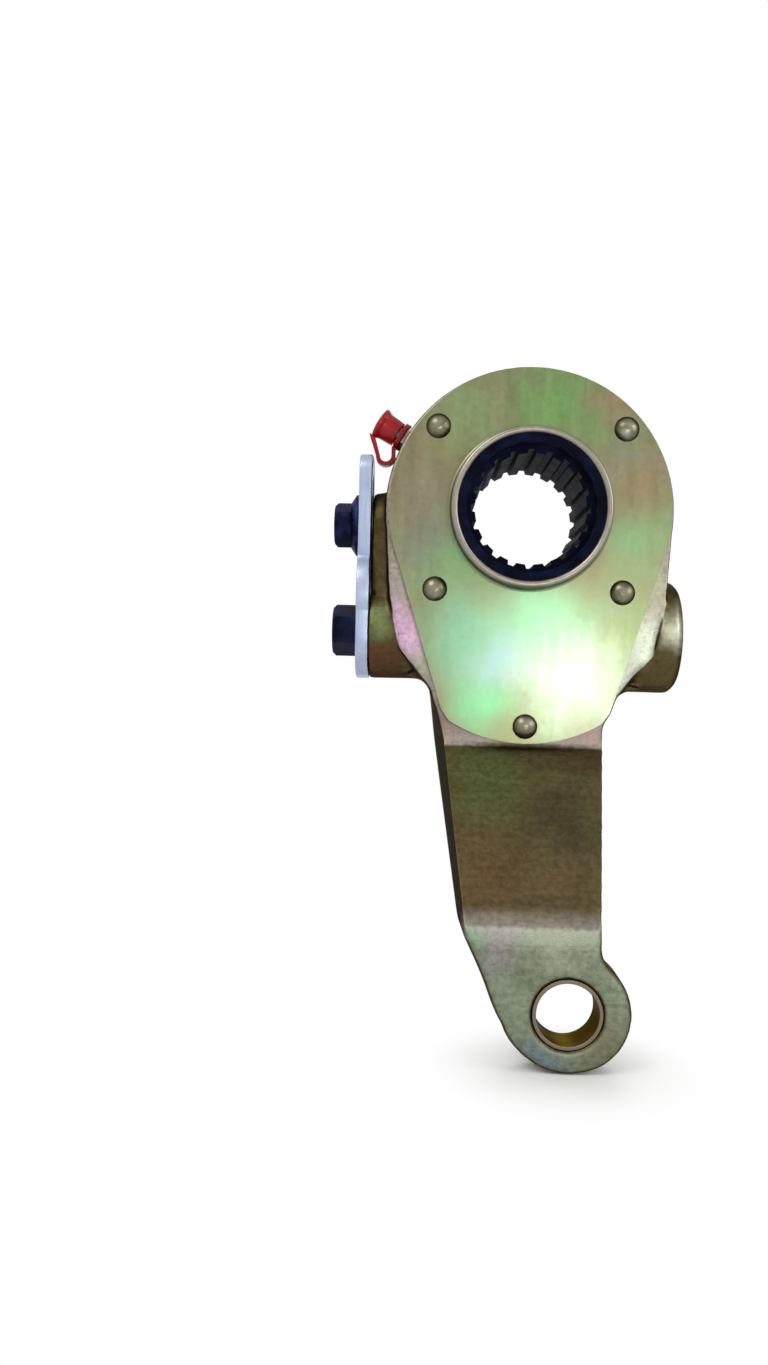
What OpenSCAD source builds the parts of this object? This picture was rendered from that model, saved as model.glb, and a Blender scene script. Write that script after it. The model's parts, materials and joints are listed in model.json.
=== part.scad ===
/* [Arm and body] */
// Distance from the bore centre down to the clevis eye
arm_length = 150; // [140:1:165]
// Sideways offset of the clevis eye from the bore centre
eye_offset = 10.7; // [7:0.1:14]
// Forward offset of the eye's mid plane from the body's mid plane
eye_forward = 53.2; // [46:0.2:58]
// Thickness of the eye
eye_t = 13.5; // [12:0.5:16]
// Outer radius of the eye
eye_r = 17; // [16:0.2:19]
// Thickness of the forged body between its two machined faces
body_t = 33; // [32:0.5:36]
// Width of the forged wall around the gear cavity
body_wall = 12.8; // [12.2:0.1:15]
// Inner diameter of the clevis bush
pin_d = 18.1; // [15:0.1:19]
// Wall of the clevis bush
bush_wall = 1.2; // [1:0.1:2]

/* [Gear set] */
// Number of teeth of the splined bore
spline_teeth = 20; // [18:1:24]
// Major diameter of the splined bore
spline_d = 38.1; // [36.5:0.1:38.5]
// Number of teeth on the worm gear
gear_teeth = 24; // [23:1:25]
// Axial pitch of the worm
worm_pitch = 7.7; // [7.5:0.1:7.9]
// Pitch radius of the worm
worm_pitch_r = 10; // [9.7:0.05:10.3]
// Face width of the gear teeth
gear_face = 15; // [12:0.5:16]

/* [Covers] */
// Thickness of each cover plate
cover_t = 3; // [2.5:0.1:4]
// Height of the collar on the front cover
collar_h = 7; // [5:0.5:8]
// Wall of the collar
collar_wall = 2.3; // [1.6:0.1:2.6]
// Thickness of each paper gasket
gasket_t = 0.5; // [0.3:0.1:0.8]
// Diameter of a rivet head
rivet_head_d = 8; // [7:0.2:8.4]
// Diameter of a rivet shank
rivet_d = 5; // [4:0.2:5.4]

/* [Adjuster and lock] */
// Width across flats of the adjusting hexagon
hex_af = 15; // [13:0.5:15.5]
// How far the adjusting hexagon stands out of its boss
hex_len = 12.4; // [10:0.1:14]
// Thickness of the lock plate
plate_t = 4.3; // [3:0.1:5]
// Travel of the lock plate down its slot
plate_travel = 12.7; // [12.5:0.1:14]
// Thread diameter of the lock bolt
bolt_d = 8; // [6:0.5:8]
// Height of the lock bolt's head
bolt_head_h = 5.6; // [4:0.1:6]
// Diameter of the washer under the lock bolt
washer_d = 20.4; // [18:0.2:22]
// Thickness of the washer under the lock bolt
washer_t = 2.7; // [2:0.1:3.2]

/* [Grease nipple] */
// Angle of the grease nipple above the lock plate side
nipple_angle = 32; // [30:0.2:32.6]
// Diameter of the dust cap's outer flange
cap_d = 10.8; // [10:0.1:12]
// Length of the dust cap
cap_len = 8.3; // [8:0.1:10]

/* [Hidden] */
$fn = 96;
// Running clearance on a turning radius
run_gap = 0.07;
// Clearance on a radius that is fixed in place
fix_gap = 0.03;
// Clearance between faces that pass one another
side_gap = 0.1;
// Overlap that makes two shapes one solid
lap = 1;
// How far an edge starts inside the curve that it runs on from
hair = 0.06;

// Gear set, worked out from the pitches
gear_pitch_r = gear_teeth * worm_pitch / (2 * PI);
addendum = 2.2;
dedendum = 2.6;
gear_tip_r = gear_pitch_r + addendum;
gear_root_r = gear_pitch_r - dedendum;
pressure_angle = 20;
gear_base_r = gear_pitch_r * cos(pressure_angle);
flank_gap = 0.25;
worm_crest_r = worm_pitch_r + addendum;
worm_root_r = worm_pitch_r - dedendum;
thread_gap = 0.2;
worm_len = 36;
worm_bore_r = 4.95;
lead_angle = atan(worm_pitch / (2 * PI * worm_pitch_r));
worm_z = -(gear_pitch_r + worm_pitch_r);
spline_major_r = spline_d / 2;
spline_depth = 1.3;
spline_minor_r = spline_major_r - spline_depth;
spline_space = PI * spline_minor_r / spline_teeth;
pilot_step = 1.45;
pilot_r = spline_major_r + pilot_step;
pilot_depth = 5;
hub_wall = 4.15;
hub_r = spline_major_r + hub_wall;
shoulder_w = 2.3;
shoulder_r = hub_r + shoulder_w;
seal_w = 2.9;

// Planes across the body
face_y = body_t / 2;
cover_in_y = face_y + gasket_t;
cover_out_y = cover_in_y + cover_t;
collar_y = cover_out_y + collar_h;
seal_t = 2;

// Body outline
cavity_gap = 2.15;
cavity_r = gear_tip_r + cavity_gap;
body_r = cavity_r + body_wall;
cover_inset = 1.3;
cover_r = body_r - cover_inset;
foot_r = 47;
foot_drop = 35.6;
foot_z = worm_z - foot_drop;
corner_x = 26.9;
corner_drop = 25.2;
corner_z = worm_z - corner_drop;
corner_turn = 35;
rivet_inset = 5.9;
rivet_ring_r = cavity_r + rivet_inset;
rivet_angles = [41, 139, 221, 319];
rivet_hole_r = rivet_d / 2 + fix_gap;
foot_rivet_rise = 5.5;
rivet_spots = concat(
    [for (a = rivet_angles) rivet_ring_r * [cos(a), sin(a)]],
    [[0, foot_z + foot_rivet_rise]]
);
boss_chamfer = 2.2;
seat_gap = 0.6;
gasket_inset = 0.4;
left_boss_r = 15.8;
left_boss_rise = 4.64;
left_boss_x = -(body_r + left_boss_rise);
right_boss_r = 18.6;
right_boss_rise = 4;
right_boss_x = body_r + right_boss_rise;
flank_top_in = 1.8;
flank_top_rise = 11.5;
flank_mid_in = 5.8;
flank_mid_drop = 6.3;
flank_low_in = 19.6;
flank_low_drop = 23.9;
fill_back = 3;
left_fill_x = -27.6;
left_fill_r = 11;
right_fill_x = 25;
right_fill_r = 13;
pocket_x = worm_len / 2 + 1.5;
pocket_top = -20;
pocket_gap = 1.9;
pocket_bottom = worm_z - worm_crest_r - pocket_gap;

// Adjuster shaft
journal_r = 7.2;
stem_r = 4.75;
hex_r = hex_af / 2 / cos(30);
hex_in_x = left_boss_x - side_gap;
hex_out_x = left_boss_x - hex_len;
oring_r = 1.1;
oring_in = 5;
oring_x = left_boss_x + oring_in;
plug_r = 9;
plug_t = 4;
plug_sink = 0.6;
plug_rim = 2;
plug_dish = 1;
plug_x = right_boss_x - plug_sink - plug_t;
stem_gap = 2;
stem_end_x = plug_x - stem_gap;

// Lock plate, with its opening worked out from the hexagon and the bolt
plate_x = left_boss_x - plate_t;
bolt_rise = 35.5;
bolt_z = worm_z + bolt_rise;
bolt_r = bolt_d / 2;
slot_w = bolt_d + 0.8;
slot_top_z = bolt_z + bolt_r + plate_travel + 0.2;
slot_bottom_z = bolt_z - bolt_r - 0.6;
lobe_hole_r = hex_r + 0.36;
waist_w = hex_af + 0.4;
release_z = worm_z + plate_travel;
plate_top_z = slot_top_z + 6.2;
plate_low_r = lobe_hole_r + 5.3;
plate_mid_r = lobe_hole_r + 6.8;
plate_low_z = worm_z - 1.7;
plate_up_w = slot_w + 13.4;
plate_fillet = 5;
pad_drop = 2.9;
pad_x = left_boss_x + pad_drop;
pad_r = 11;
pad_run = 20;
spacer_wall = 4;
bolt_head_af = 13;
bolt_gap = 0.2;
thread_runout = 1.5;
hex_bevel = 1.1;
bolt_end_x = -(cavity_r + 3);

// Grease nipple, along its own axis from the bore centre
nipple_seat = body_r - 0.6;
nipple_hex_af = 8;
nipple_hex_h = 2.8;
nipple_spot_r = 6;
nipple_neck_r = 2.4;
nipple_thread_r = 2.75;
ring_t = 1.6;
ring_r = 5;
head_r = 3.2;
ring_from = nipple_seat + nipple_hex_h;
neck_to = ring_from + ring_t + 2.2;
nipple_end = neck_to + 3.6;
cap_from = ring_from + ring_t + 0.6;
cap_to = cap_from + cap_len;
cap_bore_r = head_r + 0.25;
cap_bore_depth = 5.9;
cap_wall = 0.9;
flange_t = 1.6;
cap_dome = 0.9;
strap_w = 4;
strap_t = 1.4;
strap_drop = 2.5;
strap_gap = 0.6;

// Eye and arm
eye_z = -arm_length;
eye_front_y = -(eye_forward + eye_t / 2);
eye_back_y = -(eye_forward - eye_t / 2);
bush_r = pin_d / 2 + bush_wall;
bush_inset = 0.3;
eye_fillet = 9;
eye_turn = 49;
neck_drop = 16;
neck_z = worm_z - neck_drop;
knee_rise = 25;
knee_z = eye_z + knee_rise;
neck_left_x = -31;
neck_right_x = 28.9;
root_left_x = -28.6;
root_right_x = 24.3;
knee_left_x = -21.2;
knee_right_x = 18.7;
foot_left_x = -14.9;
foot_left_rise = 12;
foot_left_z = eye_z + foot_left_rise;

forged = "darkkhaki";
plated = "lightsteelblue";
blackened = "dimgray";

// A flat outline in X and Z, carried through the body from y0 to y1
module through_y(y0, y1) {
    translate([0, y1, 0]) rotate([90, 0, 0]) linear_extrude(y1 - y0) children();
}

// A flat outline in Y and Z, carried sideways from x0 to x1
module through_x(x0, x1) {
    translate([x0, 0, 0]) rotate([90, 0, 90]) linear_extrude(x1 - x0) children();
}

module rod_y(x, z, r, y0, y1) {
    translate([x, y1, z]) rotate([90, 0, 0]) cylinder(h = y1 - y0, r = r);
}

module rod_x(z, r, x0, x1) {
    translate([x0, 0, z]) rotate([0, 90, 0]) cylinder(h = x1 - x0, r = r);
}

module along_nipple() {
    rotate([0, nipple_angle - 90, 0]) children();
}

// The point where a straight edge from a corner meets the round top
function tangent_point(p, r) =
    let (turn = atan2(p[1], p[0]) + acos(r / norm(p))) r * [cos(turn), sin(turn)];

function mirrored(p) = [-p[0], p[1]];

// A plate in the covers' outline: a round top, straight sides and a shallow foot with bevelled corners.
// The straight sides start a hair inside the round top.
module cover_slab(grow, y0, y1) {
    top_r = cover_r + grow;
    corner = [corner_x + grow, corner_z - grow / 2];
    edge = tangent_point(corner, top_r - hair);
    low = corner + foot_r / 3 * [-sin(corner_turn), -cos(corner_turn)];
    rod_y(0, 0, top_r, y0, y1);
    through_y(y0, y1) intersection() {
        polygon([edge, corner, low, mirrored(low), mirrored(corner), mirrored(edge)]);
        translate([0, foot_z + foot_r]) circle(foot_r + grow);
    }
}

// The corner between two straight edges, filled to a radius
module corner_fill(x, z, sx, r) {
    translate([x, z]) difference() {
        polygon([[-4 * sx * lap, lap], [sx * r, lap], [sx * r, 0], [0, -r], [-4 * sx * lap, -r]]);
        translate([sx * r, -r]) circle(r);
    }
}

// Front outline of the arm, ending in the round eye with a fillet at its right
module arm_front() {
    eye = [eye_offset, eye_z];
    fillet_x = knee_right_x + eye_fillet;
    fillet_z = eye_z + sqrt(pow(eye_r + eye_fillet, 2) - pow(fillet_x - eye_offset, 2));
    fillet = [fillet_x, fillet_z];
    difference() {
        polygon([
            [neck_left_x, neck_z], [root_left_x, foot_z], [knee_left_x, knee_z], [foot_left_x, foot_left_z],
            eye - eye_r * [cos(eye_turn), sin(eye_turn)], eye,
            eye + eye_r / (eye_r + eye_fillet) * (fillet - eye), fillet,
            [knee_right_x, fillet_z], [knee_right_x, knee_z], [root_right_x, foot_z], [neck_right_x, neck_z]
        ]);
        translate(fillet) circle(eye_fillet + hair);
    }
    translate(eye) circle(eye_r);
}

// Side outline of the arm: it leans forward, then hangs straight at the eye
module arm_side() {
    low_z = eye_z - eye_r - lap;
    bend = 5;
    root_z = foot_z - 0.5;
    polygon([
        [-face_y, neck_z + bend], [-face_y, root_z], [eye_front_y + bend / 5, knee_z],
        [eye_front_y, knee_z - bend], [eye_front_y, low_z], [eye_back_y, low_z],
        [eye_back_y, knee_z - 0.8 * bend], [eye_back_y + 0.4 * bend, knee_z - 0.3 * bend],
        [face_y - 1.1 * bend, root_z - 2.9 * bend], [face_y - 0.4 * bend, root_z - 1.4 * bend],
        [face_y, root_z], [face_y, neck_z + bend]
    ]);
}

// Straight flanks that run from the round body down into the arm
module flanks(grow) {
    half = body_r + grow;
    side = [
        [half, 0], [half - flank_top_in, worm_z + flank_top_rise],
        [half - flank_mid_in, worm_z - flank_mid_drop], [half - flank_low_in, worm_z - flank_low_drop]
    ];
    polygon([for (p = side) p, for (i = [3:-1:0]) mirrored(side[i])]);
}

module housing_solid() {
    cover_slab(cover_inset, -face_y, face_y);
    through_y(-face_y, face_y) flanks(0);
    rod_x(worm_z, left_boss_r, left_boss_x, 0);
    // Right boss, cut back to the machined faces where the covers seat and on the flank beside them
    difference() {
        translate([0, 0, worm_z]) rotate([0, 90, 0]) rotate_extrude() polygon([
            [0, 0], [right_boss_r, 0], [right_boss_r, right_boss_x - boss_chamfer],
            [right_boss_r - boss_chamfer, right_boss_x], [0, right_boss_x]
        ]);
        cover_slab(seat_gap, -face_y - right_boss_r, -face_y);
        cover_slab(seat_gap, face_y, face_y + right_boss_r);
        through_y(-face_y - right_boss_r, -face_y) flanks(hair);
        through_y(face_y, face_y + right_boss_r) flanks(hair);
    }
    // Pad that carries the lock bolt, run down into the left boss
    rod_x(bolt_z, pad_r, pad_x, -cavity_r + lap);
    translate([pad_x, hair - pad_r, worm_z])
        cube([pad_run, 2 * (pad_r - hair), bolt_z - worm_z]);
    intersection() {
        through_y(eye_front_y, face_y) arm_front();
        through_x(-body_r, body_r) arm_side();
    }
    through_y(fill_back - face_y, face_y - fill_back) {
        corner_fill(left_fill_x, worm_z - left_boss_r + lap, -1, left_fill_r);
        corner_fill(right_fill_x, worm_z - right_boss_r + lap, 1, right_fill_r);
    }
}

module housing() {
    color(forged) difference() {
        housing_solid();
        rod_y(0, 0, cavity_r, -face_y - lap, face_y + lap);
        translate([-pocket_x, -face_y - lap, pocket_bottom])
            cube([2 * pocket_x, body_t + 2 * lap, pocket_top - pocket_bottom]);
        rod_x(worm_z, journal_r + run_gap, left_boss_x - lap, 0);
        rod_x(worm_z, journal_r + 2 * oring_r, oring_x - oring_r - side_gap, oring_x + oring_r + side_gap);
        rod_x(worm_z, stem_r + run_gap, 0, right_boss_x);
        rod_x(worm_z, plug_r, plug_x, right_boss_x + lap);
        rod_x(bolt_z, bolt_r + run_gap, pad_x - lap, bolt_end_x + thread_runout);
        for (p = rivet_spots) rod_y(p[0], p[1], rivet_hole_r, -face_y - lap, face_y + lap);
        rod_y(eye_offset, eye_z, bush_r, eye_front_y - lap, eye_back_y + lap);
        along_nipple() {
            translate([0, 0, nipple_seat]) cylinder(h = body_wall, r = nipple_spot_r);
            translate([0, 0, cavity_r - lap]) cylinder(h = body_wall + lap, r = nipple_thread_r + fix_gap);
        }
    }
}

module clevis_bush() {
    color("darkgoldenrod") difference() {
        rod_y(eye_offset, eye_z, bush_r, eye_front_y + bush_inset, eye_back_y - bush_inset);
        rod_y(eye_offset, eye_z, pin_d / 2, eye_front_y - lap, eye_back_y + lap);
    }
}

// Gasket between the body and a cover, open over the gear and the worm
module gasket(y0) {
    difference() {
        cover_slab(-gasket_inset, y0, y0 + gasket_t);
        rod_y(0, 0, cavity_r + gasket_inset, y0 - lap, y0 + gasket_t + lap);
        translate([-pocket_x, y0 - lap, pocket_bottom])
            cube([2 * pocket_x, gasket_t + 2 * lap, pocket_top - pocket_bottom]);
        for (p = rivet_spots) rod_y(p[0], p[1], rivet_hole_r, y0 - lap, y0 + gasket_t + lap);
    }
}

module front_gasket() {
    color("tan") gasket(-cover_in_y);
}

module rear_gasket() {
    color("tan") gasket(face_y);
}

module cover_plate(y0) {
    difference() {
        cover_slab(0, y0, y0 + cover_t);
        rod_y(0, 0, hub_r + run_gap, y0 - lap, y0 + cover_t + lap);
        for (p = rivet_spots) rod_y(p[0], p[1], rivet_hole_r, y0 - lap, y0 + cover_t + lap);
    }
}

// Collar on the front cover: a short tube with a rounded rim and a filleted foot
module collar() {
    in_r = hub_r + run_gap;
    out_r = in_r + collar_wall;
    rim = collar_wall / 2;
    foot = 1.2;
    rotate([-90, 0, 0]) rotate_extrude() {
        translate([in_r, -collar_y + rim]) square([collar_wall, collar_h - rim + lap]);
        translate([in_r + rim, -collar_y + rim]) circle(rim);
        difference() {
            translate([in_r + rim, -cover_out_y - foot]) square([rim + foot, foot + lap]);
            translate([out_r + foot, -cover_out_y - foot]) circle(foot);
        }
    }
}

module front_cover() {
    color(forged) {
        cover_plate(-cover_out_y);
        collar();
    }
}

module rear_cover() {
    color(forged) cover_plate(cover_in_y);
}

// One rivet through both covers, with a domed head at each end
module rivet() {
    head_r = rivet_head_d / 2;
    head_h = 2.2;
    dome_r = (head_r * head_r + head_h * head_h) / (2 * head_h);
    rotate([90, 0, 0]) cylinder(h = 2 * cover_out_y, d = rivet_d, center = true);
    for (s = [0, 180]) rotate([90 + s, 0, 0]) intersection() {
        translate([0, 0, cover_out_y + head_h - dome_r]) sphere(dome_r);
        translate([0, 0, cover_out_y]) cylinder(h = head_h + lap, r = head_r);
    }
}

module cover_rivets() {
    color(forged) for (p = rivet_spots) translate([p[0], 0, p[1]]) rivet();
}

// Seal ring around the gear hub, bedded against the inside of a cover
module hub_seal(y0) {
    difference() {
        rod_y(0, 0, hub_r + seal_w, y0, y0 + seal_t);
        rod_y(0, 0, hub_r + run_gap, y0 - lap, y0 + seal_t + lap);
    }
}

module front_hub_seal() {
    color("black") hub_seal(-cover_in_y);
}

module rear_hub_seal() {
    color("black") hub_seal(cover_in_y - seal_t);
}

function involute(a) = tan(a) * 180 / PI - a;

function space_half_angle(r) =
    90 / gear_teeth + flank_gap / gear_pitch_r * 180 / PI
    + involute(acos(gear_base_r / max(r, gear_base_r))) - involute(pressure_angle);

// One space between two gear teeth, with involute flanks, at the worm's side of the gear
module tooth_space() {
    steps = 4;
    over = 0.6;
    radii = [for (i = [0:steps]) gear_root_r + (gear_tip_r + over - gear_root_r) * i / steps];
    flank = [for (r = radii) r * [sin(space_half_angle(r)), -cos(space_half_angle(r))]];
    polygon([for (p = flank) p, for (i = [0:steps]) mirrored(flank[steps - i])]);
}

// The splined bore's outline: a round hole with a ring of straight-sided tooth spaces
module spline_outline() {
    wide = spline_space / 2;
    narrow = 0.7 * wide;
    circle(spline_minor_r);
    for (i = [0:spline_teeth - 1]) rotate(i * 360 / spline_teeth) polygon([
        [spline_minor_r - lap, -wide], [spline_minor_r, -wide], [spline_major_r, -narrow],
        [spline_major_r, narrow], [spline_minor_r, wide], [spline_minor_r - lap, wide]
    ]);
}

module worm_gear() {
    hub_front_y = -collar_y + 1;
    shoulder_y = cover_in_y - seal_t - side_gap;
    color(blackened) difference() {
        union() {
            rod_y(0, 0, gear_tip_r, -gear_face / 2, gear_face / 2);
            rod_y(0, 0, shoulder_r, -shoulder_y, shoulder_y);
            rod_y(0, 0, hub_r, hub_front_y, cover_out_y);
        }
        for (i = [0:gear_teeth - 1]) rotate([0, i * 360 / gear_teeth, 0]) rotate([0, 0, lead_angle])
            through_y(-gear_face, gear_face) tooth_space();
        through_y(hub_front_y - lap, cover_out_y + lap) spline_outline();
        rod_y(0, 0, pilot_r, hub_front_y - lap, hub_front_y + pilot_depth);
    }
}

// Section of the single-start worm, square to its axis
module worm_section() {
    points = 36;
    half_pitch = worm_pitch / 4 - thread_gap;
    half_crest = half_pitch - addendum * tan(pressure_angle);
    half_root = half_pitch + dedendum * tan(pressure_angle);
    difference() {
        polygon([for (i = [0:points - 1])
            let (turn = i / points - 0.5)
            let (rise = max(0, min(1, (half_root - abs(turn * worm_pitch)) / (half_root - half_crest))))
            (worm_root_r + rise * (worm_crest_r - worm_root_r)) * [cos(360 * turn), sin(360 * turn)]
        ]);
        circle(worm_bore_r, $fn = 18);
    }
}

module worm() {
    turns = worm_len / worm_pitch;
    color(blackened) translate([0, 0, worm_z]) rotate([0, 90, 0]) translate([0, 0, -worm_len / 2])
        linear_extrude(worm_len, twist = -360 * turns, slices = 58, $fn = 18)
            rotate(180 - 180 * turns) worm_section();
}

module adjuster_shaft() {
    color(blackened) {
        translate([hex_out_x, 0, worm_z]) rotate([0, 90, 0])
            intersection() {
                cylinder(h = hex_in_x - hex_out_x, r = hex_r, $fn = 6);
                cylinder(h = 2 * hex_r, r1 = hex_r - hex_bevel, r2 = 3 * hex_r - hex_bevel);
            }
        rod_x(worm_z, journal_r, hex_in_x - lap, -worm_len / 2);
        rod_x(worm_z, stem_r, -worm_len / 2 - lap, stem_end_x);
    }
}

// Thrust washers that take the worm's end load on the pocket's walls
module thrust_washers() {
    t = pocket_x - worm_len / 2 - side_gap;
    bore_gap = 0.15;
    color("peru") {
        difference() {
            rod_x(worm_z, worm_crest_r, -pocket_x, t - pocket_x);
            rod_x(worm_z, journal_r + bore_gap, -pocket_x - lap, t - pocket_x + lap);
        }
        difference() {
            rod_x(worm_z, worm_crest_r, pocket_x - t, pocket_x);
            rod_x(worm_z, stem_r + bore_gap, pocket_x - t - lap, pocket_x + lap);
        }
    }
}

module shaft_seal() {
    color("black") translate([oring_x, 0, worm_z]) rotate([0, 90, 0]) rotate_extrude()
        translate([journal_r + oring_r, 0]) circle(oring_r - fix_gap);
}

module end_plug() {
    color(plated) difference() {
        rod_x(worm_z, plug_r, plug_x, plug_x + plug_t);
        rod_x(worm_z, plug_r - plug_rim, plug_x + plug_t - plug_dish, right_boss_x);
    }
}

module plate_spacer() {
    color(plated) difference() {
        rod_x(bolt_z, bolt_r + spacer_wall, left_boss_x, pad_x);
        rod_x(bolt_z, bolt_r + bolt_gap, left_boss_x - lap, pad_x + lap);
    }
}

// Outline of the lock plate: a narrow strip that widens around the hexagon's opening
module plate_outline() {
    half_w = plate_up_w / 2;
    corner = 6;
    fillet_y = half_w + plate_fillet;
    reach = plate_mid_r + plate_fillet;
    fillet_z = release_z + sqrt(reach * reach - fillet_y * fillet_y);
    translate([-half_w, release_z]) square([plate_up_w, plate_top_z - corner - release_z]);
    translate([-half_w + corner, release_z]) square([plate_up_w - 2 * corner, plate_top_z - release_z]);
    for (s = [-1, 1]) translate([s * (half_w - corner), plate_top_z - corner]) circle(corner);
    difference() {
        polygon([for (p = [[1, 0.5], [1, 1], [-1, 1], [-1, 0.5]])
            [p[0] * fillet_y * plate_mid_r / reach, release_z + p[1] * (fillet_z - release_z)]]);
        for (s = [-1, 1]) translate([s * fillet_y, fillet_z]) circle(plate_fillet + hair);
    }
    translate([0, release_z]) circle(plate_mid_r);
    translate([-plate_low_r, plate_low_z]) square([2 * plate_low_r, release_z - plate_low_z]);
    translate([0, plate_low_z]) circle(plate_low_r);
}

// The hexagon turns in the round ends of its opening; the waist between them holds its flats
module plate_openings() {
    for (z = [worm_z, release_z]) translate([0, z]) circle(lobe_hole_r);
    translate([-waist_w / 2, worm_z]) square([waist_w, plate_travel]);
    for (z = [slot_top_z - slot_w / 2, slot_bottom_z + slot_w / 2]) translate([0, z]) circle(d = slot_w);
    translate([-slot_w / 2, slot_bottom_z + slot_w / 2])
        square([slot_w, slot_top_z - slot_bottom_z - slot_w]);
}

module lock_plate() {
    color(plated) through_x(plate_x, left_boss_x) difference() {
        plate_outline();
        plate_openings();
    }
}

// Cone-topped washer that clamps the lock plate
module lock_washer() {
    inner = bolt_r + bolt_gap;
    outer = washer_d / 2;
    edge = 1.1;
    cone = 2.4;
    color(blackened) translate([plate_x, 0, bolt_z]) rotate([0, -90, 0]) rotate_extrude()
        polygon([[inner, 0], [outer, 0], [outer, edge], [outer - cone, washer_t], [inner, washer_t]]);
}

module lock_bolt() {
    head_r = bolt_head_af / 2 / cos(30);
    under = plate_x - washer_t;
    color(blackened) {
        translate([under - bolt_head_h, 0, bolt_z]) rotate([0, 90, 0]) intersection() {
            cylinder(h = bolt_head_h, r = head_r, $fn = 6);
            cylinder(h = 2 * head_r, r1 = head_r - hex_bevel, r2 = 3 * head_r - hex_bevel);
        }
        rod_x(bolt_z, bolt_r, under - lap, bolt_end_x);
    }
}

module grease_nipple() {
    bottom = cavity_r + 2;
    color("gray") along_nipple() {
        rotate_extrude() polygon([
            [0, bottom], [nipple_thread_r, bottom], [nipple_thread_r, nipple_seat + lap],
            [nipple_neck_r, nipple_seat + lap], [nipple_neck_r, neck_to], [head_r, neck_to + head_r / 4],
            [head_r, neck_to + 0.6 * head_r], [head_r / 2, nipple_end], [0, nipple_end]
        ]);
        translate([0, 0, nipple_seat]) cylinder(h = nipple_hex_h, d = nipple_hex_af / cos(30), $fn = 6);
    }
}

// Ring at the foot of the cap's strap, held on the nipple's neck
module cap_ring() {
    color("crimson") along_nipple() translate([0, 0, ring_from]) difference() {
        cylinder(h = ring_t, r = ring_r);
        translate([0, 0, -lap]) cylinder(h = ring_t + 2 * lap, r = nipple_neck_r + fix_gap);
    }
}

// A point along the nipple's axis and below it, in X and Z
function below_nipple(along, below) =
    along * [-cos(nipple_angle), sin(nipple_angle)] - below * [sin(nipple_angle), cos(nipple_angle)];

// Strap that hangs in a loop from the cap's flange, past the lock plate, to the ring, clear of all three
module cap_strap() {
    half = strap_t / 2;
    side = strap_w / 2;
    high = below_nipple(cap_to - flange_t / 2, cap_d / 2);
    foot = below_nipple(ring_from + ring_t / 2, ring_r);
    near_x = left_boss_x + strap_gap + half;
    loop_r = (foot[0] - near_x) / 2;
    loop = [near_x + loop_r, foot[1] - strap_drop];
    top_z = high[1] + lap;
    color("crimson") difference() {
        union() {
            rod_y(loop[0], loop[1], loop_r + half, -side, side);
            through_y(-side, side) polygon([
                [near_x - half + hair, loop[1] - hair], [high[0] - half, top_z],
                [high[0] + half + lap, top_z], [near_x + half + lap, loop[1] - half]
            ]);
            translate([foot[0] - half - lap, -side, loop[1] - half])
                cube([strap_t + lap - hair, strap_w, strap_drop + half + lap]);
        }
        rod_y(loop[0], loop[1], loop_r - half, -side - lap, side + lap);
        through_y(-side - lap, side + lap) polygon([
            [near_x + half, loop[1]], [high[0] + half, top_z + lap],
            [foot[0] - half, top_z + lap], [foot[0] - half, loop[1]]
        ]);
        along_nipple() {
            translate([0, 0, cap_to - 2 * flange_t]) cylinder(h = 4 * flange_t, d = cap_d + 2 * side_gap);
            translate([0, 0, nipple_seat]) cylinder(h = nipple_hex_h + 2 * ring_t, r = ring_r + side_gap);
        }
    }
}

// Cap with a flared, slightly domed flange that the fingers pull on
module dust_cap() {
    out_r = cap_d / 2;
    body_r = cap_bore_r + cap_wall;
    dome_steps = 4;
    color("crimson") along_nipple() rotate_extrude() polygon([
        [cap_bore_r, cap_from], [body_r, cap_from], [body_r + cap_wall / 3, cap_to - 2 * flange_t],
        [out_r, cap_to - flange_t], [out_r, cap_to - cap_dome],
        for (i = [1:dome_steps]) let (f = 1 - i / dome_steps) [out_r * f, cap_to - cap_dome * f * f],
        [0, cap_from + cap_bore_depth], [cap_bore_r, cap_from + cap_bore_depth]
    ]);
}

housing();
clevis_bush();
front_gasket();
rear_gasket();
front_cover();
rear_cover();
cover_rivets();
front_hub_seal();
rear_hub_seal();
worm_gear();
worm();
adjuster_shaft();
thrust_washers();
shaft_seal();
end_plug();
plate_spacer();
lock_plate();
lock_washer();
lock_bolt();
grease_nipple();
cap_ring();
cap_strap();
dust_cap();
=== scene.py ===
import json
import math

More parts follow.
